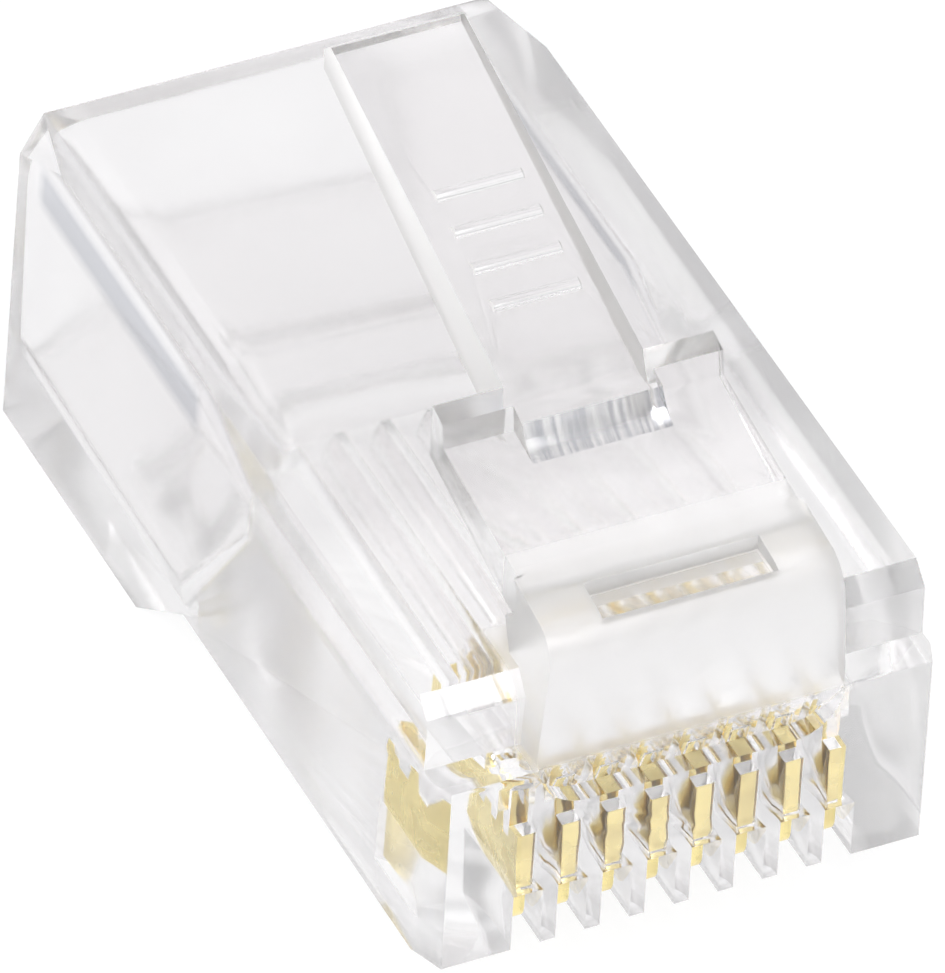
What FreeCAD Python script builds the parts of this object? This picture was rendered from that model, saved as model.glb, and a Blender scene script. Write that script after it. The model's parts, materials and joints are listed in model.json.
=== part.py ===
import FreeCAD, Part
import math
import os

# Eight-position modular plug with a spring latch. Millimetres, +Z up, latch on top.
# The nose, with the contacts, points along -Y and the cable enters from +Y.
# The origin is under the middle of the plug, on the plane that it rests on.
# Inside this file y is measured from the nose face backwards, and place() shifts it.

# Housing outside
PLUG_WIDTH = 11.68
PLUG_LENGTH = 21.2
NOSE_HEIGHT = 6.5
STEP_DEPTH = 1.55           # how far the rear part reaches below the nose
NOSE_LENGTH = 12.1          # nose face to the start of the ramp
RAMP_LENGTH = 2.2
SIDE_DRAFT = 0.18           # each side wall leans in by this much at the top
NOSE_TAPER = 0.35           # lead-in of each side at the nose
NOSE_TAPER_LENGTH = 0.9
LEDGE_DROP = 1.7            # ledges beside the latch root, below the top face
LEDGE_DEPTH = 0.9
LEDGE_BEVEL = 0.45
REAR_CUT_ACROSS = 0.5       # facets on the two rear top corners
REAR_CUT_ALONG = 2.0
REAR_CUT_DOWN = 0.9

# Housing inside
SIDE_WALL = 0.9
FLOOR_WALL = 1.1
ROOF_WALL = 1.2
CAVITY_DEPTH = 8.2          # straight part of the cable cavity
CAVITY_ROUND = 0.9
FUNNEL_LENGTH = 2.6
FUNNEL_MARGIN = 0.35         # funnel beyond the outer wire channels
FUNNEL_ROUND = 0.3
CHANNEL_WIDTH = 0.8
CHANNEL_HEIGHT = 1.15
CHANNEL_DROP = 0.95         # channels below the roof of the cable cavity
NOSE_WALL = 1.4             # closed end of the wire channels
WINDOW_WIDTH = 6.8          # strain-relief window in the contact side
WINDOW_LENGTH = 4.4
WINDOW_REAR_WALL = 3.9      # from the rear face to the window
BAR_LENGTH = 2.9            # strain-relief bar
BAR_RECESS = 0.4            # bar above the rear underside
BAR_STAND = 0.6             # how far it stands up into the cable cavity
BAR_SIDE_GAP = 0.4
BAR_WEB_LENGTH = 0.8        # thin web that joins the bar to the window's rear wall
BAR_WEB_THICKNESS = 0.35

# Contacts
CONTACT_COUNT = 8
CONTACT_PITCH = 1.02
BLADE_THICKNESS = 0.36
BLADE_CLEARANCE = 0.03      # between blade and slot, each side
NOTCH_WIDTH = 0.68          # open groove below each blade, wider than the blade
NOTCH_HEIGHT = 1.45         # groove above the contact side
BLADE_LENGTH = 3.5
BLADE_SETBACK = 0.5         # blade edge behind the nose face
BLADE_RECESS = 0.12         # blade edge above the contact side
BLADE_NOSE_ROUND = 0.5
BLADE_FRONT_HEIGHT = 2.73
BLADE_SHOULDER = 0.7
PRONG_COUNT = 3
PRONG_HEIGHT = 0.95
PRONG_BITE = 0.3            # how far the prong tips stand into the wire channel
PRONG_TIP = 0.3             # tip and front foot of each prong, as fractions of the prong pitch
PRONG_FOOT = 0.55

# Latch
LATCH_WIDTH = 6.4
LATCH_REACH = 6.3           # nose face to the shoulders
LATCH_SLOPE = 8.5           # degrees, top of the wide plate at rest
UNDER_SLOPE = 14.0          # degrees, underside of the wide plate
HINGE_THICKNESS = 1.1       # plate at its bending line
SHOULDER_LENGTH = 0.6
SHOULDER_RISE = 0.62        # shoulders above the wide plate
SHOULDER_RAMP = 0.1
TAB_WIDTH = 3.05            # at the free end
TAB_ROOT_EXTRA = 0.08       # the tab is this much wider on each side at its root
TAB_SLOPE = 14.5
TAB_START = 4.75            # nose face to the foot of the ramp that starts the tab
TAB_RAMP = 0.6
TAB_REACH = 15.4            # nose face to the free end of the tab
TAB_RAMP_HOLLOW = 0.4       # how high the ramp's middle is, as a fraction of its rise
TAB_ROOT_THICKNESS = 1.5
TAB_END_THICKNESS = 0.85
TAB_END_ROUND = 0.3
RIB_COUNT = 4
RIB_WIDTH = 0.3
RIB_HEIGHT = 0.12
RIB_PITCH = 0.95
RIB_FIRST = 8.2
RIB_LENGTH = 2.0

# Latch root, moulded on the housing
ROOT_WIDTH = 7.0            # at its foot
ROOT_FOOT_ROUND = 1.2
ROOT_SETBACK = 0.1          # root face behind the nose face
ROOT_FOOT_SETBACK = 0.5
ROOT_TOP_ROUND = 0.8
ROOT_HIGH = 3.2             # height above the top face where the root is as wide as the latch
SHELF_DROP = 1.15           # shelf under the root, below the ledges
HINGE_BACK = 2.36           # bending line behind the nose face
HINGE_LIFT = 1.28           # bending line above the top face
HINGE_CLEARANCE = 0.03
SEAT_LIP = 30.0             # degrees that the seat stops short of the plate's underside
POCKET_WIDTH = 4.0
POCKET_LENGTH = 0.95
POCKET_DEPTH = 0.5
POCKET_WALL = 0.3           # between the pocket and the seat

# Worked out from the sizes above
HALF_WIDTH = PLUG_WIDTH / 2
TOP_Z = STEP_DEPTH + NOSE_HEIGHT
LEDGE_Z = TOP_Z - LEDGE_DROP
SHELF_Z = LEDGE_Z - SHELF_DROP
RAMP_END = NOSE_LENGTH + RAMP_LENGTH
CAVITY_FRONT = PLUG_LENGTH - CAVITY_DEPTH
CHANNEL_END = CAVITY_FRONT - FUNNEL_LENGTH
CAVITY_TOP = TOP_Z - ROOF_WALL
CHANNEL_TOP = CAVITY_TOP - CHANNEL_DROP
CHANNEL_FLOOR = CHANNEL_TOP - CHANNEL_HEIGHT
SLOT_WIDTH = BLADE_THICKNESS + 2 * BLADE_CLEARANCE
BLADE_BOTTOM = STEP_DEPTH + BLADE_RECESS
BLADE_REAR = BLADE_SETBACK + BLADE_LENGTH
BLADE_FRONT_TOP = BLADE_BOTTOM + BLADE_FRONT_HEIGHT
HINGE_Z = TOP_Z + HINGE_LIFT
HINGE_RADIUS = HINGE_THICKNESS / 2
ROOT_TOP_Z = HINGE_Z + HINGE_RADIUS / math.cos(math.radians(LATCH_SLOPE))
SHOULDER_FRONT = LATCH_REACH - SHOULDER_LENGTH
MARGIN = 1.0                # how far cutting tools run past the faces they open


def vec(x, y, z):
    """A point or a direction."""
    return FreeCAD.Vector(x, y, z)


def place(shape):
    """Move a shape from nose-face coordinates to the plug's own frame."""
    return shape.translated(vec(0, -PLUG_LENGTH / 2, 0))


def block(x0, x1, y0, y1, z0, z1):
    """A box between two corners."""
    return Part.makeBox(x1 - x0, y1 - y0, z1 - z0, vec(x0, y0, z0))


def outline(points, to_point):
    """A closed face. A point is a pair, and a triple of pairs is an arc through its second to its third."""
    edges = []
    start = points[0]
    for item in points[1:] + [points[0]]:
        if isinstance(item[0], tuple):
            middle, end = item
            arc = Part.Arc(to_point(start), to_point(middle), to_point(end))
            edges.append(arc.toShape())
            start = end
        elif item != start:
            edges.append(Part.makeLine(to_point(start), to_point(item)))
            start = item
    return Part.Face(Part.Wire(edges))


def side_solid(points, half_width):
    """A side-view outline of (y, z) points, made as wide as the part."""
    face = outline(points, lambda p: vec(-half_width, p[0], p[1]))
    return face.extrude(vec(2 * half_width, 0, 0))


def front_solid(points, y0, y1):
    """A front-view outline of (x, z) points, extruded backwards."""
    face = outline(points, lambda p: vec(p[0], y0, p[1]))
    return face.extrude(vec(0, y1 - y0, 0))


def plan_solid(points, z0, z1):
    """A top-view outline of (x, y) points, extruded upwards."""
    face = outline(points, lambda p: vec(p[0], p[1], z0))
    return face.extrude(vec(0, 0, z1 - z0))


def mirrored(points):
    """A left half outline, from its foot to its top, with its mirror image added."""
    return points + [(-x, other) for x, other in reversed(points)]


def polar(centre, radius, degrees):
    """A (y, z) point on a circle round a centre."""
    angle = math.radians(degrees)
    return (centre[0] + radius * math.cos(angle), centre[1] + radius * math.sin(angle))


def contact_x(index):
    """The middle of one contact across the plug."""
    return (index - (CONTACT_COUNT - 1) / 2) * CONTACT_PITCH


def latch_top_z(y):
    """Height of the top of the wide latch plate."""
    return ROOT_TOP_Z + (y - HINGE_BACK) * math.tan(math.radians(LATCH_SLOPE))


def latch_under_z(y):
    """Height of the underside of the wide latch plate."""
    slope = math.radians(UNDER_SLOPE)
    return HINGE_Z - HINGE_RADIUS / math.cos(slope) + (y - HINGE_BACK) * math.tan(slope)


def tab_top_z(y):
    """Height of the top of the narrow tab, which is flush with the shoulders at their back."""
    shoulder = latch_top_z(LATCH_REACH) + SHOULDER_RISE
    return shoulder + (y - LATCH_REACH) * math.tan(math.radians(TAB_SLOPE))


def housing_outside():
    """Stepped, drafted and tapered body, with its front ledges and cut rear corners."""
    profile = [
        (0, STEP_DEPTH),
        (0, LEDGE_Z),
        (LEDGE_DEPTH, LEDGE_Z),
        (LEDGE_DEPTH, TOP_Z - LEDGE_BEVEL),
        (LEDGE_DEPTH + LEDGE_BEVEL, TOP_Z),
        (PLUG_LENGTH, TOP_Z),
        (PLUG_LENGTH, 0),
        (RAMP_END, 0),
        (NOSE_LENGTH, STEP_DEPTH),
    ]
    body = side_solid(profile, HALF_WIDTH)
    section = mirrored([(-HALF_WIDTH, 0), (-HALF_WIDTH + SIDE_DRAFT, TOP_Z)])
    body = body.common(front_solid(section, 0, PLUG_LENGTH))
    plan = [
        (-HALF_WIDTH + NOSE_TAPER, 0),
        (-HALF_WIDTH, NOSE_TAPER_LENGTH),
        (-HALF_WIDTH, PLUG_LENGTH),
        (HALF_WIDTH, PLUG_LENGTH),
        (HALF_WIDTH, NOSE_TAPER_LENGTH),
        (HALF_WIDTH - NOSE_TAPER, 0),
    ]
    body = body.common(plan_solid(plan, 0, TOP_Z))
    for side in (-1, 1):
        body = body.cut(rear_corner(side))
    return body


def rear_corner(side):
    """The three-sided piece that is missing from one rear top corner."""
    tip = vec(side * (HALF_WIDTH - SIDE_DRAFT), PLUG_LENGTH, TOP_Z)
    across = tip + vec(-side * REAR_CUT_ACROSS, 0, 0)
    along = tip + vec(0, -REAR_CUT_ALONG, 0)
    down = tip + vec(0, 0, -REAR_CUT_DOWN)
    middle = (across + along + down) * (1 / 3)
    # twice the size about the middle of its slanted face, which stays in its plane
    corners = [middle + (point - middle) * 2 for point in (tip, across, along, down)]
    faces = []
    for skipped in corners:
        trio = [corner for corner in corners if corner is not skipped]
        faces.append(Part.Face(Part.makePolygon(trio + [trio[0]])))
    return Part.makeSolid(Part.makeShell(faces))


def root_outline():
    """Front view of the latch root: rounded at its foot and narrower at the top."""
    foot = ROOT_WIDTH / 2
    top = LATCH_WIDTH / 2
    high = TOP_Z + ROOT_HIGH
    inset = ROOT_FOOT_ROUND * (1 - math.cos(math.radians(45)))
    return [
        (-foot + ROOT_FOOT_ROUND, SHELF_Z),
        ((-foot + inset, SHELF_Z + inset), (-foot, SHELF_Z + ROOT_FOOT_ROUND)),
        (-foot, LEDGE_Z + LEDGE_BEVEL),
        (-top, high),
        (top, high),
        (foot, LEDGE_Z + LEDGE_BEVEL),
        (foot, SHELF_Z + ROOT_FOOT_ROUND),
        ((foot - inset, SHELF_Z + inset), (foot - ROOT_FOOT_ROUND, SHELF_Z)),
    ]


def latch_root():
    """The thick curved root that carries the latch, with the seat of its bending line."""
    hinge = (HINGE_BACK, HINGE_Z)
    seat = HINGE_RADIUS + HINGE_CLEARANCE
    upper = 90 + LATCH_SLOPE + math.degrees(math.acos(HINGE_RADIUS / seat))
    lower = 270 + UNDER_SLOPE - SEAT_LIP
    face_top = latch_top_z(ROOT_SETBACK + ROOT_TOP_ROUND) - ROOT_TOP_ROUND
    bend = (ROOT_SETBACK + ROOT_TOP_ROUND, face_top)
    profile = [
        (ROOT_FOOT_SETBACK, SHELF_Z),
        (ROOT_SETBACK, LEDGE_Z),
        (ROOT_SETBACK, face_top),
        (polar(bend, ROOT_TOP_ROUND, 135), polar(bend, ROOT_TOP_ROUND, 90)),
        polar(hinge, seat, upper),
        (polar(hinge, seat, (upper + lower) / 2), polar(hinge, seat, lower)),
        (HINGE_BACK - HINGE_RADIUS, TOP_Z),
        (HINGE_BACK - HINGE_RADIUS, SHELF_Z),
    ]
    root = side_solid(profile, ROOT_WIDTH / 2)
    return root.common(front_solid(root_outline(), 0, HINGE_BACK))


def cable_cavity():
    """Rounded cable entry, the funnel in front of it and the eight wire channels."""
    half = HALF_WIDTH - SIDE_DRAFT - SIDE_WALL
    entry = rounded_face(half, FLOOR_WALL, CAVITY_TOP, CAVITY_FRONT, CAVITY_ROUND)
    cavity = entry.extrude(vec(0, CAVITY_DEPTH + MARGIN, 0))
    wires = (CONTACT_COUNT - 1) * CONTACT_PITCH / 2 + CHANNEL_WIDTH / 2
    throat = rounded_face(wires + FUNNEL_MARGIN, CHANNEL_FLOOR, CHANNEL_TOP, CHANNEL_END, FUNNEL_ROUND)
    funnel = Part.makeLoft([entry.OuterWire, throat.OuterWire], True, True)
    hollow = cavity.fuse(funnel)
    for index in range(CONTACT_COUNT):
        x = contact_x(index)
        half_channel = CHANNEL_WIDTH / 2
        hollow = hollow.fuse(block(x - half_channel, x + half_channel, NOSE_WALL, CHANNEL_END,
                                   CHANNEL_FLOOR, CHANNEL_TOP))
    return hollow


def rounded_face(half, z0, z1, y, radius):
    """A flat face across the plug, with rounded corners."""
    near = radius * (1 - math.cos(math.radians(45)))
    profile = [
        (-half, z0 + radius),
        ((-half + near, z0 + near), (-half + radius, z0)),
        (half - radius, z0),
        ((half - near, z0 + near), (half, z0 + radius)),
        (half, z1 - radius),
        ((half - near, z1 - near), (half - radius, z1)),
        (-half + radius, z1),
        ((-half + near, z1 - near), (-half, z1 - radius)),
    ]
    return outline(profile, lambda p: vec(p[0], y, p[1]))


def contact_slot(index):
    """The slot of one contact: an open groove in the nose and a close fit for the blade above it."""
    x = contact_x(index)
    half = SLOT_WIDTH / 2
    rear = BLADE_REAR + BLADE_CLEARANCE
    top = STEP_DEPTH + NOTCH_HEIGHT
    groove = block(x - NOTCH_WIDTH / 2, x + NOTCH_WIDTH / 2, -MARGIN, rear, STEP_DEPTH - MARGIN, top)
    front = BLADE_SETBACK - BLADE_CLEARANCE
    low = block(x - half, x + half, front, rear, STEP_DEPTH, BLADE_FRONT_TOP + BLADE_CLEARANCE)
    shoulder = front + BLADE_SHOULDER
    high = block(x - half, x + half, shoulder, rear, STEP_DEPTH, CHANNEL_FLOOR + CHANNEL_HEIGHT / 2)
    return groove.fuse(low).fuse(high)


def relief_window():
    """The window in the contact side, through which the strain-relief bar is pressed."""
    rear = PLUG_LENGTH - WINDOW_REAR_WALL
    half = WINDOW_WIDTH / 2
    return block(-half, half, rear - WINDOW_LENGTH, rear, -MARGIN, FLOOR_WALL + STEP_DEPTH)


def relief_bar():
    """The wedge-shaped bar in the window, hung from its rear wall by a thin web."""
    rear = PLUG_LENGTH - WINDOW_REAR_WALL
    top = FLOOR_WALL + BAR_STAND
    heel = rear - BAR_WEB_LENGTH
    toe = heel - BAR_LENGTH
    profile = [
        (rear, FLOOR_WALL - BAR_WEB_THICKNESS),
        (heel, FLOOR_WALL - BAR_WEB_THICKNESS),
        (heel, BAR_RECESS),
        (toe + BAR_WEB_LENGTH, BAR_RECESS),
        (toe, (BAR_RECESS + top) / 2),
        (toe, top),
        (heel, FLOOR_WALL),
        (rear, FLOOR_WALL),
    ]
    return side_solid(profile, WINDOW_WIDTH / 2 - BAR_SIDE_GAP)


def pocket():
    """The shallow moulding pocket in the top of the latch root."""
    rear = HINGE_BACK - HINGE_RADIUS - HINGE_CLEARANCE - POCKET_WALL
    half = POCKET_WIDTH / 2
    return block(-half, half, rear - POCKET_LENGTH, rear, ROOT_TOP_Z - POCKET_DEPTH, ROOT_TOP_Z + MARGIN)


def housing():
    """The whole clear moulding, without the flexing part of the latch."""
    body = housing_outside()
    body = body.cut(front_solid(root_outline(), -MARGIN, LEDGE_DEPTH))
    body = body.fuse(latch_root())
    body = body.cut(pocket())
    body = body.cut(cable_cavity())
    body = body.cut(relief_window())
    body = body.fuse(relief_bar())
    for index in range(CONTACT_COUNT):
        body = body.cut(contact_slot(index))
    return body.removeSplitter()


def latch():
    """The wide plate with its two shoulders, and the narrow finger tab behind it."""
    hinge = (HINGE_BACK, HINGE_Z)
    upper = 90 + LATCH_SLOPE
    lower = 270 + UNDER_SLOPE
    lip = SHOULDER_FRONT + SHOULDER_RAMP
    plate = [
        polar(hinge, HINGE_RADIUS, upper),
        (polar(hinge, HINGE_RADIUS, (upper + lower) / 2), polar(hinge, HINGE_RADIUS, lower)),
        (LATCH_REACH, latch_under_z(LATCH_REACH)),
        (LATCH_REACH, tab_top_z(LATCH_REACH)),
        (lip, tab_top_z(lip)),
        (SHOULDER_FRONT, latch_top_z(SHOULDER_FRONT)),
    ]
    wide = side_solid(plate, LATCH_WIDTH / 2)
    return wide.fuse(finger_tab()).removeSplitter()


def finger_tab():
    """The tab: it rises from the plate on a short curved ramp and thins towards its free end."""
    foot_z = latch_top_z(TAB_START)
    top = TAB_START + TAB_RAMP
    hollow_z = foot_z + (tab_top_z(top) - foot_z) * TAB_RAMP_HOLLOW
    ramp_middle = (TAB_START + TAB_RAMP * (1 - TAB_RAMP_HOLLOW), hollow_z)
    end_top = tab_top_z(TAB_REACH)
    profile = [
        (TAB_START, (foot_z + latch_under_z(TAB_START)) / 2),
        (TAB_START, foot_z),
        (ramp_middle, (top, tab_top_z(top))),
        (TAB_REACH - TAB_END_ROUND, tab_top_z(TAB_REACH - TAB_END_ROUND)),
        (TAB_REACH, end_top - TAB_END_ROUND),
        (TAB_REACH, end_top - TAB_END_THICKNESS),
        (LATCH_REACH, tab_top_z(LATCH_REACH) - TAB_ROOT_THICKNESS),
    ]
    root_half = TAB_WIDTH / 2 + TAB_ROOT_EXTRA
    end_half = TAB_WIDTH / 2
    plan = [(-root_half, TAB_START), (-end_half, TAB_REACH), (end_half, TAB_REACH), (root_half, TAB_START)]
    tab = side_solid(profile, root_half)
    tab = tab.common(plan_solid(plan, 0, end_top + MARGIN))
    for number in range(RIB_COUNT):
        tab = tab.fuse(grip_rib(RIB_FIRST + number * RIB_PITCH))
    return tab


def grip_rib(y):
    """One low cross rib on the tab, where a finger presses."""
    foot = -RIB_HEIGHT
    half = RIB_WIDTH / 2
    profile = [
        (y - half, tab_top_z(y - half) + foot),
        (y - half, tab_top_z(y - half)),
        ((y, tab_top_z(y) + RIB_HEIGHT), (y + half, tab_top_z(y + half))),
        (y + half, tab_top_z(y + half) + foot),
    ]
    return side_solid(profile, RIB_LENGTH / 2)


def contact(index):
    """One blade: a rounded lower nose, a shoulder, and prongs that bite into the wire."""
    bend = math.radians(45)
    near = BLADE_NOSE_ROUND * (1 - math.cos(bend))
    front = BLADE_SETBACK
    shoulder = front + BLADE_SHOULDER
    tip_z = CHANNEL_FLOOR + PRONG_BITE
    root_z = tip_z - PRONG_HEIGHT
    profile = [
        (front, BLADE_FRONT_TOP),
        (front, BLADE_BOTTOM + BLADE_NOSE_ROUND),
        ((front + near, BLADE_BOTTOM + near), (front + BLADE_NOSE_ROUND, BLADE_BOTTOM)),
        (BLADE_REAR, BLADE_BOTTOM),
    ]
    pitch = (BLADE_REAR - shoulder) / PRONG_COUNT
    for number in range(PRONG_COUNT):
        rear = BLADE_REAR - number * pitch
        profile.append((rear, root_z))
        profile.append((rear - pitch * PRONG_TIP, tip_z))
        profile.append((rear - pitch * PRONG_FOOT, root_z))
    profile.append((shoulder, root_z))
    profile.append((shoulder, BLADE_FRONT_TOP))
    face = outline(profile, lambda p: vec(contact_x(index) - BLADE_THICKNESS / 2, p[0], p[1]))
    return face.extrude(vec(BLADE_THICKNESS, 0, 0))


def main():
    """Build every piece and write one STEP file for each."""
    os.makedirs("parts", exist_ok=True)
    pieces = {"housing": housing(), "latch": latch()}
    for index in range(CONTACT_COUNT):
        pieces["contact_%d" % (index + 1)] = contact(index)
    for name, shape in pieces.items():
        solid = place(shape.Solids[0])
        solid.exportStep("parts/%s.step" % name)
        print(name, len(shape.Solids), solid.isValid(), round(solid.Volume, 2))


main()
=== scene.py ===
"""Looks of a clear eight-position modular plug: moulded body, spring latch and gold contact blades."""

import json
import logging
import math
from dataclasses import dataclass
from enum import Enum

import bmesh
import bpy
from mathutils import Matrix, Vector

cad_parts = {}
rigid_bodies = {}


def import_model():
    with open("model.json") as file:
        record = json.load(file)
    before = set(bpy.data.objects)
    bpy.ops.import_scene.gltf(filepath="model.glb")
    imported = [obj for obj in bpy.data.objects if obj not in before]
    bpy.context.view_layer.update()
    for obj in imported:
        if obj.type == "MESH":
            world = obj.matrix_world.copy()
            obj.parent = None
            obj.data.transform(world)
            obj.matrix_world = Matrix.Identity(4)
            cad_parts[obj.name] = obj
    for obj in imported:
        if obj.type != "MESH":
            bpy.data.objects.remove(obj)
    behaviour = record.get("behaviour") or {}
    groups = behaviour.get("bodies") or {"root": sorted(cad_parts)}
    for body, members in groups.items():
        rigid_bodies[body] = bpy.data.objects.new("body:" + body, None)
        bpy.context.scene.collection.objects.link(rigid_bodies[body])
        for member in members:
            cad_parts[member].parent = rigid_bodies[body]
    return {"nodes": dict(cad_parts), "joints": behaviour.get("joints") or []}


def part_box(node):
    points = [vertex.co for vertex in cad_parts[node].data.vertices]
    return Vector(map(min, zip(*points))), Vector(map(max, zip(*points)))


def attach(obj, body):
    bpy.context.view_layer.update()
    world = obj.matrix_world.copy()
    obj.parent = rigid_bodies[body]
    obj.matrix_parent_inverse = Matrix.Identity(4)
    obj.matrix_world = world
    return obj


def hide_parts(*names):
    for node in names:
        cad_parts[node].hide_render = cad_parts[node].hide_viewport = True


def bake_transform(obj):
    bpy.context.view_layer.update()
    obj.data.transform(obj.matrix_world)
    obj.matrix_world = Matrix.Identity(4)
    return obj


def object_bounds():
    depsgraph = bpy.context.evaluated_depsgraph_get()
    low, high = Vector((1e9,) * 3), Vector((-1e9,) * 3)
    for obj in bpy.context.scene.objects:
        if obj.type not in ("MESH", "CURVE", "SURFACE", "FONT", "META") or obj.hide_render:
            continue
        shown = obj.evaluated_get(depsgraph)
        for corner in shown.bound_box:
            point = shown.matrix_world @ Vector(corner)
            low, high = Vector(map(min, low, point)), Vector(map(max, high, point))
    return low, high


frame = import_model()
CAD_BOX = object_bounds()

MM = 0.001
CLEAR_BOUNCES = 24  # light passes through many walls of the clear moulding
RAMP_LINES_AND_REFLECTION = "mould_marks_and_painted_reflection"  # mesh attribute: 1 on faces that keep the cutter's lines, which are bumped and darkened with a painted dark reflection
MATT = "mould_matt"  # mesh attribute: how satin a face is
WHITE = (1.0, 1.0, 1.0, 1.0)
MIX_SHARE, MIX_FIRST, MIX_SECOND, MIX_RESULT = 0, 6, 7, 2  # a colour Mix node's sockets
ALONG, UP = 1, 2  # a corner's axes: from the nose to the rear, and upwards
LOG = logging.getLogger("modular_plug")


class Maths(Enum):
    """What a Math node works out."""

    SUM = "ADD"
    DIFFERENCE = "SUBTRACT"
    PRODUCT = "MULTIPLY"
    QUOTIENT = "DIVIDE"
    SIZE = "ABSOLUTE"
    MOST = "MAXIMUM"


class Shader:
    """One material's or world's node tree, and the single method that adds any node to it."""

    def __init__(self, owner: bpy.types.ID) -> None:
        """Empty the owner's node tree.

        Args:
            owner: a material or a world.
        """
        owner.use_nodes = True
        self.tree = owner.node_tree
        self.tree.nodes.clear()

    def node(self, kind: str, settings: dict | None = None, inputs: dict | None = None) -> bpy.types.Node:
        """Add one node.

        Args:
            kind: the node's type name.
            settings: properties, such as a Math node's operation, which are set first.
            inputs: values or links, by socket name or number.

        Returns:
            The new node.
        """
        made = self.tree.nodes.new(kind)
        for name, value in (settings or {}).items():
            setattr(made, name, value)
        for name, value in (inputs or {}).items():
            self.feed(made.inputs[name], value)
        return made

    def feed(self, socket: bpy.types.NodeSocket, value: object) -> None:
        """Link or set one socket.

        Args:
            socket: the socket to fill.
            value: a Sock, a node's output, or a plain value.
        """
        if isinstance(value, Sock):
            value = value.out
        if isinstance(value, bpy.types.NodeSocket):
            self.tree.links.new(value, socket)
        else:
            socket.default_value = value

    def value(self, made: bpy.types.Node, output: str | int = 0) -> "Sock":
        """Wrap one output of a node, for shader maths."""
        return Sock(self, made.outputs[output])

    def mix(self, amount: object, first: object, second: object) -> "Sock":
        """Mix two colours.

        Args:
            amount: the factor.
            first: the colour at a factor of 0.
            second: the colour at a factor of 1.

        Returns:
            The mixed colour.
        """
        made = self.node(
            "ShaderNodeMix",
            {"data_type": "RGBA"},
            {MIX_SHARE: amount, MIX_FIRST: first, MIX_SECOND: second},
        )
        return Sock(self, made.outputs[MIX_RESULT])

    def bump(self, height: "Sock") -> bpy.types.NodeSocket:
        """Turn a height in metres into a surface's normal."""
        inputs = {"Height": height, "Distance": 1.0, "Strength": 1.0}
        return self.node("ShaderNodeBump", {}, inputs).outputs[0]

    def blend(self, amount: object, first: bpy.types.Node, second: bpy.types.Node) -> bpy.types.Node:
        """Mix two surfaces or lights.

        Args:
            amount: the factor.
            first: the shader node at a factor of 0.
            second: the shader node at a factor of 1.

        Returns:
            The Mix Shader node.
        """
        return self.node("ShaderNodeMixShader", {}, {0: amount, 1: first.outputs[0], 2: second.outputs[0]})

    def seen_rays(self) -> "Sock":
        """1 for rays that show this thing, mirrored or through clear plastic too, and 0 for its light."""
        rays = self.node("ShaderNodeLightPath")
        direct = self.value(rays, "Is Camera Ray")
        mirrored = self.value(rays, "Is Glossy Ray")
        through = self.value(rays, "Is Transmission Ray")
        return (direct + mirrored + through).clipped(0.0, 1.0)


class Sock:
    """A number in a shader. Python's operators on it add Math nodes."""

    def __init__(self, shader: Shader, out: bpy.types.NodeSocket) -> None:
        """Wrap a socket.

        Args:
            shader: the tree that it belongs to.
            out: the output socket.
        """
        self.shader = shader
        self.out = out

    def _math(self, operation: Maths, first: object, second: object = 0.0) -> "Sock":
        """Add one Math node.

        Args:
            operation: what it works out.
            first: its first operand.
            second: its second operand.

        Returns:
            The result.
        """
        made = self.shader.node("ShaderNodeMath", {"operation": operation.value}, {0: first, 1: second})
        return Sock(self.shader, made.outputs[0])

    def __add__(self, other: object) -> "Sock":
        """Sum."""
        return self._math(Maths.SUM, self, other)

    def __radd__(self, other: object) -> "Sock":
        """Sum, reflected."""
        return self._math(Maths.SUM, other, self)

    def __sub__(self, other: object) -> "Sock":
        """Difference."""
        return self._math(Maths.DIFFERENCE, self, other)

    def __rsub__(self, other: object) -> "Sock":
        """Difference, reflected."""
        return self._math(Maths.DIFFERENCE, other, self)

    def __mul__(self, other: object) -> "Sock":
        """Product."""
        return self._math(Maths.PRODUCT, self, other)

    def __rmul__(self, other: object) -> "Sock":
        """Product, reflected."""
        return self._math(Maths.PRODUCT, other, self)

    def __truediv__(self, other: object) -> "Sock":
        """Quotient."""
        return self._math(Maths.QUOTIENT, self, other)

    def __rtruediv__(self, other: object) -> "Sock":
        """Quotient, reflected."""
        return self._math(Maths.QUOTIENT, other, self)

    def size(self) -> "Sock":
        """Absolute value."""
        return self._math(Maths.SIZE, self)

    def most(self, other: "Sock") -> "Sock":
        """The larger of this and another number."""
        return self._math(Maths.MOST, self, other)

    def clipped(self, low: float, high: float) -> "Sock":
        """Rescale so that low becomes 0 and high becomes 1, and clip.

        Args:
            low: the value that gives 0.
            high: the value that gives 1.

        Returns:
            A number from 0 to 1.
        """
        made = self.shader.node("ShaderNodeMapRange", {}, {"Value": self, "From Min": low, "From Max": high})
        return Sock(self.shader, made.outputs[0])


class Finish:
    """A procedural material that is made once and shared by its pieces."""

    name = "finish"

    def material(self) -> bpy.types.Material:
        """Give the material, which is built at its first use."""
        made = bpy.data.materials.get(self.name)
        if made is None:
            made = bpy.data.materials.new(self.name)
            self.build(Shader(made))
        return made

    def build(self, shader: Shader) -> None:
        """Fill the node tree."""
        raise NotImplementedError

    def noise(self, shader: Shader, place: object, size_mm: float, detail: float = 2.0) -> Sock:
        """Noise with a grain of a real size.

        Args:
            shader: the tree to add it to.
            place: the coordinates.
            size_mm: about the distance between its light spots.
            detail: octaves.

        Returns:
            A number around 0.5.
        """
        made = shader.node(
            "ShaderNodeTexNoise", {}, {"Vector": place, "Scale": 1.0 / (size_mm * MM), "Detail": detail}
        )
        return Sock(shader, made.outputs[0])


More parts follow.
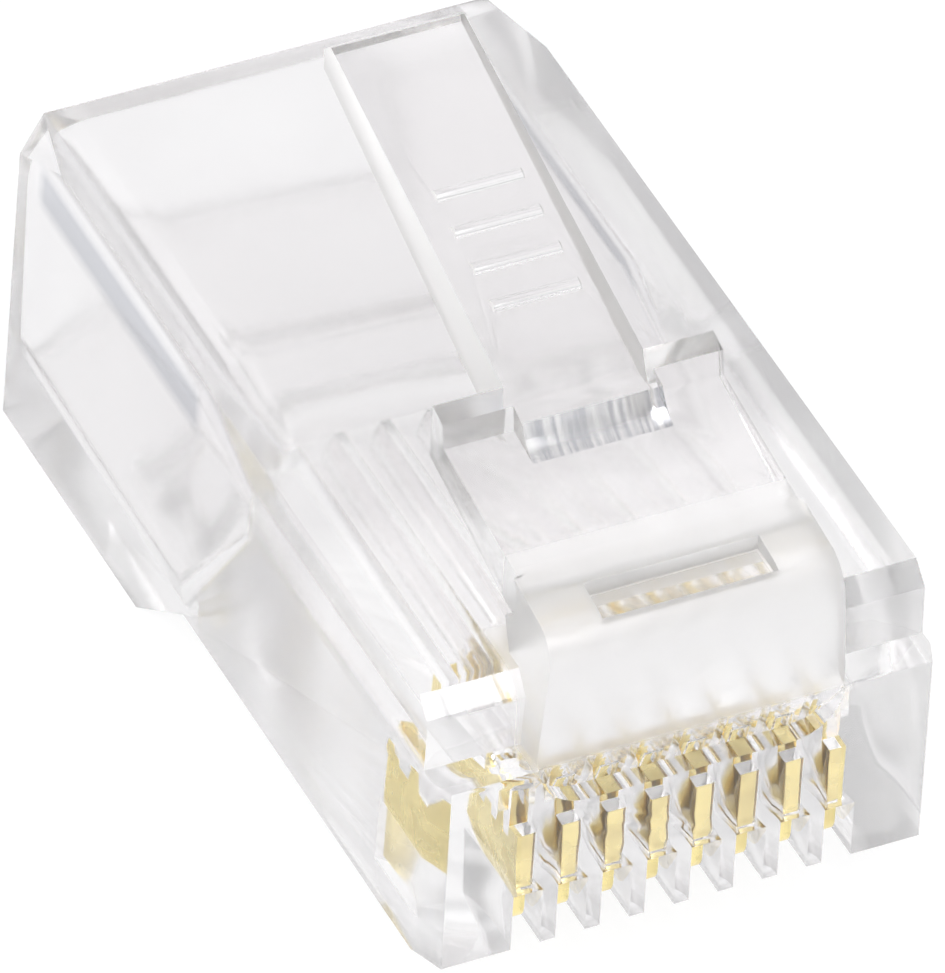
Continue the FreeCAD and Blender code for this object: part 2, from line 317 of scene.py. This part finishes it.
@dataclass(frozen=True)
class ClearPlastic(Finish):
    """Clear moulded plastic: painted shade greys the roof and the side walls behind the nose, satin on the
    latch's root, streaky cutter lines on the ramp, and a painted dark reflection on those lines and on a bar
    along the side walls.
    """

    name: str = "clear_polycarbonate"
    clean: tuple = (1.0, 0.993, 0.996, 1.0)
    # painted shade: the grey that the roof and the side walls behind the nose are tinted with
    painted_shade: tuple = (0.79, 0.778, 0.788, 1.0)
    milky: tuple = (0.99, 0.975, 0.955, 1.0)
    # painted dark reflection: the dark grey-blue of the bar along the side walls and of the ramp's streaks
    painted_dark_reflection: tuple = (0.36, 0.37, 0.41, 1.0)
    ior: float = 1.5
    clear: float = 0.985
    gloss: float = 0.07
    wear: float = 0.06
    wear_along_mm: tuple = (2.5, 5.0)
    haze: float = 0.1
    satin: float = 0.3
    milk: float = 0.25
    side_milk: float = 0.75
    satin_back_mm: float = 2.6
    satin_low_mm: float = 6.1
    satin_side_mm: float = 3.55
    pocket_half_mm: float = 1.97
    pocket_along_mm: tuple = (0.57, 1.46)
    pocket_fade_mm: float = 0.06
    pocket_polish: float = 0.6
    roof_mm: float = 8.05
    side_mm: float = 5.3
    nose_mm: float = 5.5
    nose_fade_mm: float = 1.5
    fade_mm: float = 0.25
    # where the bar of painted dark reflection lies, in millimetres
    reflection_bar_level_mm: tuple = (6.4, 7.75)
    reflection_bar_along_mm: tuple = (11.9, 20.3)
    reflection_bar_fade_mm: float = 0.4
    cloud_mm: float = 5.5
    cloud_span: tuple = (0.45, 0.7)
    cloud_share: float = 0.3
    ripple_mm: float = 2.2
    ripple_depth_mm: float = 0.004
    streak_mm: float = 0.1
    streak_span: tuple = (0.35, 0.6)
    streak_stretch: tuple = (1.0, 0.05, 0.05)
    streak_detail: float = 3.0
    streak_depth_mm: float = 0.004

    def build(self, shader: Shader) -> None:
        """Fill the node tree."""
        place = shader.node("ShaderNodeTexCoord").outputs["Object"]
        parts = shader.node("ShaderNodeSeparateXYZ", {}, {"Vector": place})
        side = shader.value(parts, "X").size() / MM
        along = (shader.value(parts, "Y") - CAD_BOX[0].y) / MM
        level = shader.value(parts, "Z") / MM
        cloud = self.noise(shader, place, self.cloud_mm).clipped(*self.cloud_span)
        ripple = self.noise(shader, place, self.ripple_mm)
        lines = shader.node("ShaderNodeMapping", {}, {"Vector": place, "Scale": self.streak_stretch})
        streak = self.noise(shader, lines.outputs[0], self.streak_mm, self.streak_detail)
        cutter_lines_and_painted_reflection = shader.value(shader.node("ShaderNodeAttribute", {"attribute_name": RAMP_LINES_AND_REFLECTION}), "Fac")
        matt = shader.value(shader.node("ShaderNodeAttribute", {"attribute_name": MATT}), "Fac")
        # Painted shade: the roof's and side walls' outer faces behind the nose are greyed, less where the
        # cloud noise is high.
        painted_shade = self._painted_shade_mask(side, along, level) * (1.0 - cloud * self.cloud_share)
        colour = shader.mix(painted_shade, self.clean, self.painted_shade)
        # Painted dark reflection: a soft dark bar along the upper part of both side walls towards the rear,
        # and dark streaks along the ramp's cutter lines.
        reflection_bar = self._between(along, self.reflection_bar_along_mm) * self._between(level, self.reflection_bar_level_mm)
        reflection_bar = reflection_bar * side.clipped(self.side_mm, self.side_mm + self.fade_mm)
        painted_dark_reflection = (cutter_lines_and_painted_reflection * streak.clipped(*self.streak_span)).most(reflection_bar)
        colour = shader.mix(painted_dark_reflection, colour, self.painted_dark_reflection)
        height = ripple * (self.ripple_depth_mm * MM) + cutter_lines_and_painted_reflection * streak * (self.streak_depth_mm * MM)
        normal = shader.bump(height)
        root = self._satin(side, along, level) * (1.0 - self._pocket(side, along) * self.pocket_polish)
        worn = along.clipped(*self.wear_along_mm)
        satin = root.most(matt)
        surface = shader.node(
            "ShaderNodeBsdfPrincipled",
            {},
            {
                "Base Color": colour,
                "Roughness": self.gloss + worn * (self.wear + cloud * self.haze) + satin * self.satin,
                "IOR": self.ior,
                "Transmission Weight": self.clear,
                "Normal": normal,
            },
        )
        skin = shader.node(
            "ShaderNodeBsdfPrincipled",
            {},
            {"Base Color": self.milky, "Roughness": self.gloss + self.satin, "Normal": normal},
        )
        milk = (root * self.milk).most(matt * self.side_milk)
        both = shader.blend(milk, surface, skin)
        shader.node("ShaderNodeOutputMaterial", {}, {"Surface": both.outputs[0]})

    def _between(self, place: Sock, span: tuple) -> Sock:
        """1 between two places and 0 outside them, with soft ends.

        Args:
            place: millimetres.
            span: where it begins and ends.

        Returns:
            A number from 0 to 1.
        """
        start, end = span
        first = place.clipped(start, start + self.reflection_bar_fade_mm)
        return first * place.clipped(end, end - self.reflection_bar_fade_mm)

    def _painted_shade_mask(self, side: Sock, along: Sock, level: Sock) -> Sock:
        """Where shade is painted: 1 on the roof's and the side walls' outer faces, behind the nose, and 0
        elsewhere.

        Args:
            side: millimetres from the middle plane.
            along: millimetres behind the nose face.
            level: millimetres above the table.

        Returns:
            A number from 0 to 1.
        """
        roof = (level - self.roof_mm).size().clipped(self.fade_mm, 0.0)
        wall = side.clipped(self.side_mm, self.side_mm + self.fade_mm)
        return roof.most(wall) * along.clipped(self.nose_mm, self.nose_mm + self.nose_fade_mm)

    def _satin(self, side: Sock, along: Sock, level: Sock) -> Sock:
        """1 on the latch's root, which leaves the mould with a satin face, and 0 elsewhere.

        Args:
            side: millimetres from the middle plane.
            along: millimetres behind the nose face.
            level: millimetres above the table.

        Returns:
            A number from 0 to 1.
        """
        front = along.clipped(self.satin_back_mm + self.fade_mm, self.satin_back_mm)
        middle = side.clipped(self.satin_side_mm + self.fade_mm, self.satin_side_mm)
        return front * middle * level.clipped(self.satin_low_mm, self.satin_low_mm + self.fade_mm)

    def _pocket(self, side: Sock, along: Sock) -> Sock:
        """1 in the shallow pocket on the latch's root, whose floor is polished, and 0 elsewhere.

        Args:
            side: millimetres from the middle plane.
            along: millimetres behind the nose face.

        Returns:
            A number from 0 to 1.
        """
        start, end = self.pocket_along_mm
        behind = along.clipped(start, start + self.pocket_fade_mm)
        before = along.clipped(end, end - self.pocket_fade_mm)
        return behind * before * side.clipped(self.pocket_half_mm, self.pocket_half_mm - self.pocket_fade_mm)


@dataclass(frozen=True)
class GoldPlate(Finish):
    """Thin gold plating on a stamped blade: fine rolling marks and duller patches at random."""

    name: str = "gold_plate"
    bright: tuple = (1.0, 0.86, 0.42, 1.0)
    dull: tuple = (0.9, 0.76, 0.38, 1.0)
    roughness: float = 0.22
    spread: float = 0.2
    wear_mm: float = 0.7
    wear_span: tuple = (0.4, 0.75)
    marks_mm: float = 0.08
    marks_detail: float = 3.0
    marks_stretch: tuple = (1.0, 1.0, 0.12)
    marks_depth_mm: float = 0.003

    def build(self, shader: Shader) -> None:
        """Fill the node tree."""
        place = shader.node("ShaderNodeTexCoord").outputs["Object"]
        stretched = shader.node("ShaderNodeMapping", {}, {"Vector": place, "Scale": self.marks_stretch})
        marks = self.noise(shader, stretched.outputs[0], self.marks_mm, self.marks_detail)
        wear = self.noise(shader, place, self.wear_mm).clipped(*self.wear_span)
        colour = shader.mix(wear, self.bright, self.dull)
        surface = shader.node(
            "ShaderNodeBsdfPrincipled",
            {},
            {
                "Base Color": colour,
                "Metallic": 1.0,
                "Roughness": self.roughness + wear * self.spread,
                "Normal": shader.bump(marks * (self.marks_depth_mm * MM)),
            },
        )
        shader.node("ShaderNodeOutputMaterial", {}, {"Surface": surface.outputs[0]})


@dataclass(frozen=True)
class WhiteSweep(Finish):
    """Matt white table that reads as plain white and keeps a soft shadow."""

    name: str = "white_sweep"
    paint: tuple = (0.78, 0.78, 0.785, 1.0)
    seen_paint: tuple = (0.14, 0.14, 0.142, 1.0)
    own_white: float = 0.9
    far_shade: tuple = (0.55, 0.55, 0.55, 1.0)
    near_mm: float = 30.0
    far_mm: float = 80.0

    def build(self, shader: Shader) -> None:
        """Fill the node tree."""
        paint = shader.node("ShaderNodeBsdfDiffuse", {}, {"Color": self.paint})
        thin = shader.node("ShaderNodeBsdfDiffuse", {}, {"Color": self.seen_paint})
        reach = shader.node(
            "ShaderNodeVectorMath",
            {"operation": "LENGTH"},
            {0: shader.node("ShaderNodeTexCoord").outputs["Object"]},
        )
        direct = shader.value(shader.node("ShaderNodeLightPath"), "Is Camera Ray")
        lit = shader.value(reach, "Value").clipped(self.far_mm * MM, self.near_mm * MM).most(direct)
        shade = shader.mix(lit, self.far_shade, WHITE)
        glow = shader.node("ShaderNodeEmission", {}, {"Color": shade, "Strength": self.own_white})
        both = shader.node("ShaderNodeAddShader", {}, {0: thin.outputs[0], 1: glow.outputs[0]})
        surface = shader.blend(shader.seen_rays(), paint, both)
        shader.node("ShaderNodeOutputMaterial", {}, {"Surface": surface.outputs[0]})


@dataclass
class ClearMoulding:
    """The clear body and its latch: one moulding, cut in two at the thin root where the real latch bends."""

    edge_mm: float = 0.07
    edge_steps: int = 2
    sharp_deg: float = 28.0
    flat_deg: float = 0.5
    weld_mm: float = 0.0005
    sliver_mm: float = 0.001
    root_back_mm: float = 2.3
    bend_mm: float = 1.3
    bridge_front_mm: float = 1.7
    bridge_back_mm: float = 3.1
    bridge_nose_mm: float = 0.25
    bridge_nose_share: float = 0.5
    cut_depth_mm: float = 0.2
    top_slope_deg: float = 8.5
    under_slope_deg: float = 14.0
    blade_reach_mm: float = 0.033
    blade_grip_mm: float = 0.01
    blade_digits: int = 4
    ramp_mm: tuple = (4.5, 5.6)
    tab_half_mm: float = 1.75
    side_turn: float = 0.8
    ramp_lean: float = -0.35
    finish: Finish = ClearPlastic()

    def __post_init__(self) -> None:
        """Take the bending line and the nose face from the frame."""
        joint = frame["joints"][0]
        self.hinge = Vector(joint["pos_m"]) / MM
        self.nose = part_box("housing")[0].y / MM
        self.body = joint["parent"]
        self.arm = joint["child"]

    def build(self) -> list[bpy.types.Object]:
        """Make and dress both parts of the moulding.

        Returns:
            The body and the latch.
        """
        whole = self._in_mm("whole", frame["nodes"]["housing"])
        self._unite(whole, self._in_mm("arm", frame["nodes"]["latch"]))
        self._unite(whole, self._bridge())
        self._close_slots(whole)
        self._round_edges(whole)
        body, arm = self._split(whole)
        self._mark_latch(arm)
        for piece, node in ((body, "housing"), (arm, "latch")):
            piece.data.materials.clear()
            piece.data.materials.append(self.finish.material())
            piece.data.transform(Matrix.Scale(MM, 4))
            piece.data.shade_smooth()
            piece.data.set_sharp_from_angle(angle=math.radians(self.sharp_deg))
            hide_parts(node)
        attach(body, self.body)
        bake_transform(arm)
        return [body, arm]

    def _close_slots(self, whole: bpy.types.Object) -> None:
        """Press the two outermost slot walls onto their blades, where the clear plastic wets the metal.

        Args:
            whole: the whole moulding, in millimetres.
        """
        blades = [node for name, node in frame["nodes"].items() if name.startswith("contact_")]
        corners = [vert.co for blade in blades for vert in blade.data.vertices]
        outer = max(abs(corner.x) for corner in corners) / MM
        ends = [corner / MM for corner in corners if abs(corner.x) / MM > outer - self.blade_grip_mm]
        places = {axis: {round(end[axis], self.blade_digits) for end in ends} for axis in (ALONG, UP)}
        for vert in whole.data.vertices:
            if not 0 < abs(vert.co.x) - outer < self.blade_reach_mm:
                continue
            vert.co.x = math.copysign(outer - self.blade_grip_mm, vert.co.x)
            for axis, spots in places.items():
                near = min(spots, key=lambda spot: abs(spot - vert.co[axis]))
                gap = near - vert.co[axis]
                if abs(gap) < self.blade_reach_mm:
                    vert.co[axis] = near + math.copysign(self.blade_grip_mm, gap)

    def _mark_latch(self, arm: bpy.types.Object) -> None:
        """Flag the ramp at the tab's foot, which keeps the cutter's lines and a painted dark reflection
        along them, and the tab's satin sides.

        Args:
            arm: the latch, in millimetres.
        """
        marks = arm.data.attributes.new(RAMP_LINES_AND_REFLECTION, "FLOAT", "FACE")
        matt = arm.data.attributes.new(MATT, "FLOAT", "FACE")
        start, end = (self.nose + place for place in self.ramp_mm)
        for face in arm.data.polygons:
            on_tab = abs(face.center.x) < self.tab_half_mm
            ramp = face.normal.y < self.ramp_lean and face.normal.z > 0 and start < face.center.y < end
            marks.data[face.index].value = float(on_tab and ramp)
            sideways = abs(face.normal.x) > self.side_turn and face.center.y > end
            matt.data[face.index].value = float(on_tab and sideways)

    def _root_line(self) -> Vector:
        """Where the latch's skin meets the body's, in millimetres."""
        return Vector((0, self.nose + self.root_back_mm, self.hinge.z))

    def _in_mm(self, name: str, node: bpy.types.Object) -> bpy.types.Object:
        """Copy a node's mesh in millimetres, with its corners joined.

        Args:
            name: the copy's name.
            node: the node's object.

        Returns:
            The copy.
        """
        mesh = bmesh.new()
        mesh.from_mesh(node.data)
        bmesh.ops.scale(mesh, vec=Vector((1, 1, 1)) / MM, verts=mesh.verts)
        bmesh.ops.remove_doubles(mesh, verts=mesh.verts, dist=self.weld_mm)
        return self._object(name, mesh)

    def _object(self, name: str, mesh: bmesh.types.BMesh) -> bpy.types.Object:
        """Turn a bmesh into an object in the scene.

        Args:
            name: the object's name.
            mesh: the bmesh, which is freed.

        Returns:
            The object.
        """
        data = bpy.data.meshes.new(name)
        mesh.to_mesh(data)
        mesh.free()
        made = bpy.data.objects.new(name, data)
        bpy.context.scene.collection.objects.link(made)
        return made

    def _bridge(self) -> bpy.types.Object:
        """The plastic at the bending line, which closes the seat's gap.

        Returns:
            A prism that reaches from the root into the latch plate.
        """
        low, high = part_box("latch")
        half = (high.x - low.x) / 2 / MM
        radius = self.hinge.z - low.z / MM
        front = self.nose + self.bridge_front_mm
        back = self.nose + self.bridge_back_mm
        rise = math.tan(math.radians(self.top_slope_deg))
        top = self.hinge.z + radius / math.cos(math.radians(self.top_slope_deg))
        fall = math.tan(math.radians(self.under_slope_deg))
        under = self.hinge.z - radius / math.cos(math.radians(self.under_slope_deg))
        outline = [
            (front, top + (front - self.hinge.y) * rise),
            (front + self.bridge_nose_mm, self.hinge.z - radius * self.bridge_nose_share),
            (self.hinge.y, under),
            (back, under + (back - self.hinge.y) * fall),
            (back, top + (back - self.hinge.y) * rise),
        ]
        mesh = bmesh.new()
        left = [mesh.verts.new((-half, y, z)) for y, z in outline]
        right = [mesh.verts.new((half, y, z)) for y, z in outline]
        mesh.faces.new(left)
        mesh.faces.new(right[::-1])
        for index in range(len(outline)):
            after = (index + 1) % len(outline)
            mesh.faces.new((left[index], right[index], right[after], left[after]))
        bmesh.ops.recalc_face_normals(mesh, faces=mesh.faces)
        return self._object("bridge", mesh)

    def _unite(self, whole: bpy.types.Object, other: bpy.types.Object) -> None:
        """Join another solid into the whole one.

        Args:
            whole: the object that grows.
            other: the object that is taken in and deleted.
        """
        change = whole.modifiers.new("unite", "BOOLEAN")
        change.operation = "UNION"
        change.solver = "EXACT"
        change.object = other
        self._apply(whole)
        bpy.data.objects.remove(other)

    def _apply(self, piece: bpy.types.Object) -> None:
        """Replace a piece's mesh by its modifiers' result."""
        seen = piece.evaluated_get(bpy.context.evaluated_depsgraph_get())
        data = bpy.data.meshes.new_from_object(seen)
        piece.modifiers.clear()
        piece.data = data

    def _round_edges(self, piece: bpy.types.Object) -> None:
        """Merge flat neighbours and round every sharp edge a little, as a mould does."""
        mesh = bmesh.new()
        mesh.from_mesh(piece.data)
        bmesh.ops.dissolve_limit(
            mesh,
            angle_limit=math.radians(self.flat_deg),
            verts=mesh.verts,
            edges=mesh.edges,
            use_dissolve_boundaries=False,
        )
        bmesh.ops.remove_doubles(mesh, verts=mesh.verts, dist=self.sliver_mm)
        mesh.to_mesh(piece.data)
        mesh.free()
        change = piece.modifiers.new("edges", "BEVEL")
        change.width = self.edge_mm
        change.segments = self.edge_steps
        change.limit_method = "ANGLE"
        change.angle_limit = math.radians(self.sharp_deg)
        change.use_clamp_overlap = True
        self._apply(piece)

    def _split(self, whole: bpy.types.Object) -> tuple[bpy.types.Object, bpy.types.Object]:
        """Cut the skin across the latch's root, where the two parts stay edge to edge.

        Args:
            whole: the whole moulding, which is deleted.

        Returns:
            The body and the latch.
        """
        mesh = bmesh.new()
        mesh.from_mesh(whole.data)
        line = self._root_line()
        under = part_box("latch")[0].z / MM - self.cut_depth_mm
        near = [face for face in mesh.faces if min(vert.co.z for vert in face.verts) > under]
        edges = [edge for face in near for edge in face.edges]
        corners = [vert for face in near for vert in face.verts]
        parts = list(dict.fromkeys(near + edges + corners))
        cut = bmesh.ops.bisect_plane(
            mesh, geom=parts, plane_co=line, plane_no=Vector((0, 1, 0)), dist=self.weld_mm
        )
        seam = {item for item in cut["geom_cut"] if isinstance(item, bmesh.types.BMEdge)}
        start = max(mesh.faces, key=lambda face: face.calc_center_median().z)
        arm = self._reached(start, seam)
        second = mesh.copy()
        flags = [face in arm for face in mesh.faces]
        second.faces.ensure_lookup_table()
        first_gone = [face for face, in_arm in zip(mesh.faces, flags) if in_arm]
        second_gone = [face for face, in_arm in zip(second.faces, flags) if not in_arm]
        bmesh.ops.delete(mesh, geom=first_gone, context="FACES")
        bmesh.ops.delete(second, geom=second_gone, context="FACES")
        LOG.info("root: %d seam edges, %d latch faces", len(seam), len(arm))
        bpy.data.objects.remove(whole)
        return self._object("clear_body", mesh), self._object("spring_latch", second)

    def _reached(self, start: bmesh.types.BMFace, seam: set) -> set:
        """Faces that are joined to one face without crossing a seam.

        Args:
            start: the face to begin at.
            seam: edges that are not crossed.

        Returns:
            The set of faces.
        """
        found = {start}
        rest = [start]
        while rest:
            face = rest.pop()
            for edge in face.edges:
                if edge in seam:
                    continue
                for other in edge.link_faces:
                    if other not in found:
                        found.add(other)
                        rest.append(other)
        return found


@dataclass
class ContactSet:
    """The eight stamped blades, which keep their own solids."""

    finish: Finish = GoldPlate()

    def build(self) -> list[bpy.types.Object]:
        """Dress every blade.

        Returns:
            The blades.
        """
        blades = [node for name, node in sorted(frame["nodes"].items()) if name.startswith("contact_")]
        for blade in blades:
            blade.data.materials.clear()
            blade.data.materials.append(self.finish.material())
        return blades


@dataclass
class Studio:
    """White table, soft lamps, pale surroundings and the camera."""

    table_m: float = 3.0
    finish: Finish = WhiteSweep()
    table_gap_mm: float = 0.02
    key_watts: float = 1.1
    key_size: float = 0.2
    key_place: tuple = (-0.06, -0.32, 0.38)
    fill_watts: float = 0.7
    fill_size: float = 0.3
    fill_place: tuple = (-0.3, 0.12, 0.3)
    room: tuple = (0.93, 0.94, 0.97, 1.0)
    room_strength: float = 0.75
    azimuth_deg: float = -27.43
    elevation_deg: float = 40.68
    roll_deg: float = 3.47
    distance_mm: float = 409.3
    lens_mm: float = 722.4
    slide_mm: tuple = (-0.18, 0.69)
    aim_mm: tuple = (0.0, -0.6, 4.0)
    clip_m: tuple = (0.01, 10.0)

    def build(self) -> list[bpy.types.Object]:
        """Make the table, the lamps, the surroundings and the camera.

        Returns:
            The table.
        """
        self._world()
        self._lamp("key", self.key_watts, self.key_size, Vector(self.key_place))
        self._lamp("fill", self.fill_watts, self.fill_size, Vector(self.fill_place))
        self._camera()
        return [self._table()]

    def _table(self) -> bpy.types.Object:
        """The table's top, under the plug's lowest face."""
        half = self.table_m / 2
        mesh = bmesh.new()
        corners = [(-half, -half), (half, -half), (half, half), (-half, half)]
        level = CAD_BOX[0].z - self.table_gap_mm * MM
        mesh.faces.new([mesh.verts.new((x, y, level)) for x, y in corners])
        data = bpy.data.meshes.new("table")
        mesh.to_mesh(data)
        mesh.free()
        top = bpy.data.objects.new("table", data)
        bpy.context.scene.collection.objects.link(top)
        data.materials.append(self.finish.material())
        return top

    def _lamp(self, name: str, watts: float, size: float, place: Vector) -> None:
        """Add one soft square lamp that looks at the plug.

        Args:
            name: its name.
            watts: its power.
            size: its side in metres.
            place: where it hangs.
        """
        data = bpy.data.lights.new(name, "AREA")
        data.energy = watts
        data.size = size
        lamp = bpy.data.objects.new(name, data)
        lamp.location = place
        lamp.rotation_euler = (-place).to_track_quat("-Z", "Y").to_euler()
        bpy.context.scene.collection.objects.link(lamp)

    def _world(self) -> None:
        """Pale surroundings: plain white where they are seen, softer where they only light."""
        world = bpy.data.worlds.new("room")
        bpy.context.scene.world = world
        shader = Shader(world)
        light = shader.node("ShaderNodeBackground", {}, {"Color": self.room, "Strength": self.room_strength})
        white = shader.node("ShaderNodeBackground", {}, {"Color": WHITE, "Strength": 1.0})
        both = shader.blend(shader.seen_rays(), light, white)
        shader.node("ShaderNodeOutputWorld", {}, {"Surface": both.outputs[0]})

    def _camera(self) -> None:
        """A long lens, from the plug's front left and above."""
        azimuth = math.radians(self.azimuth_deg)
        elevation = math.radians(self.elevation_deg)
        back = Vector(
            (
                math.sin(azimuth) * math.cos(elevation),
                -math.cos(azimuth) * math.cos(elevation),
                math.sin(elevation),
            )
        )
        level = Vector((0, 0, 1)).cross(back).normalized()
        upright = back.cross(level)
        roll = math.radians(self.roll_deg)
        right = level * math.cos(roll) + upright * math.sin(roll)
        up = upright * math.cos(roll) - level * math.sin(roll)
        slide = right * self.slide_mm[0] + up * self.slide_mm[1]
        eye = Vector(self.aim_mm) + slide + back * self.distance_mm
        data = bpy.data.cameras.new("camera")
        data.lens = self.lens_mm
        data.clip_start, data.clip_end = self.clip_m
        camera = bpy.data.objects.new("camera", data)
        turn = Matrix((right, up, back)).transposed().to_4x4()
        camera.matrix_world = Matrix.Translation(eye * MM) @ turn
        bpy.context.scene.collection.objects.link(camera)
        bpy.context.scene.camera = camera


def main() -> None:
    """Build and dress the plug, then the studio."""
    logging.basicConfig(level=logging.INFO)
    bpy.context.scene.view_settings.view_transform = "Standard"
    cycles = bpy.context.scene.cycles
    cycles.max_bounces = cycles.transmission_bounces = cycles.glossy_bounces = CLEAR_BOUNCES
    for assembly in (ClearMoulding(), ContactSet(), Studio()):
        for piece in assembly.build():
            LOG.info("%s: %s, %d faces", type(assembly).__name__, piece.name, len(piece.data.polygons))


if __name__ == "__main__":
    main()
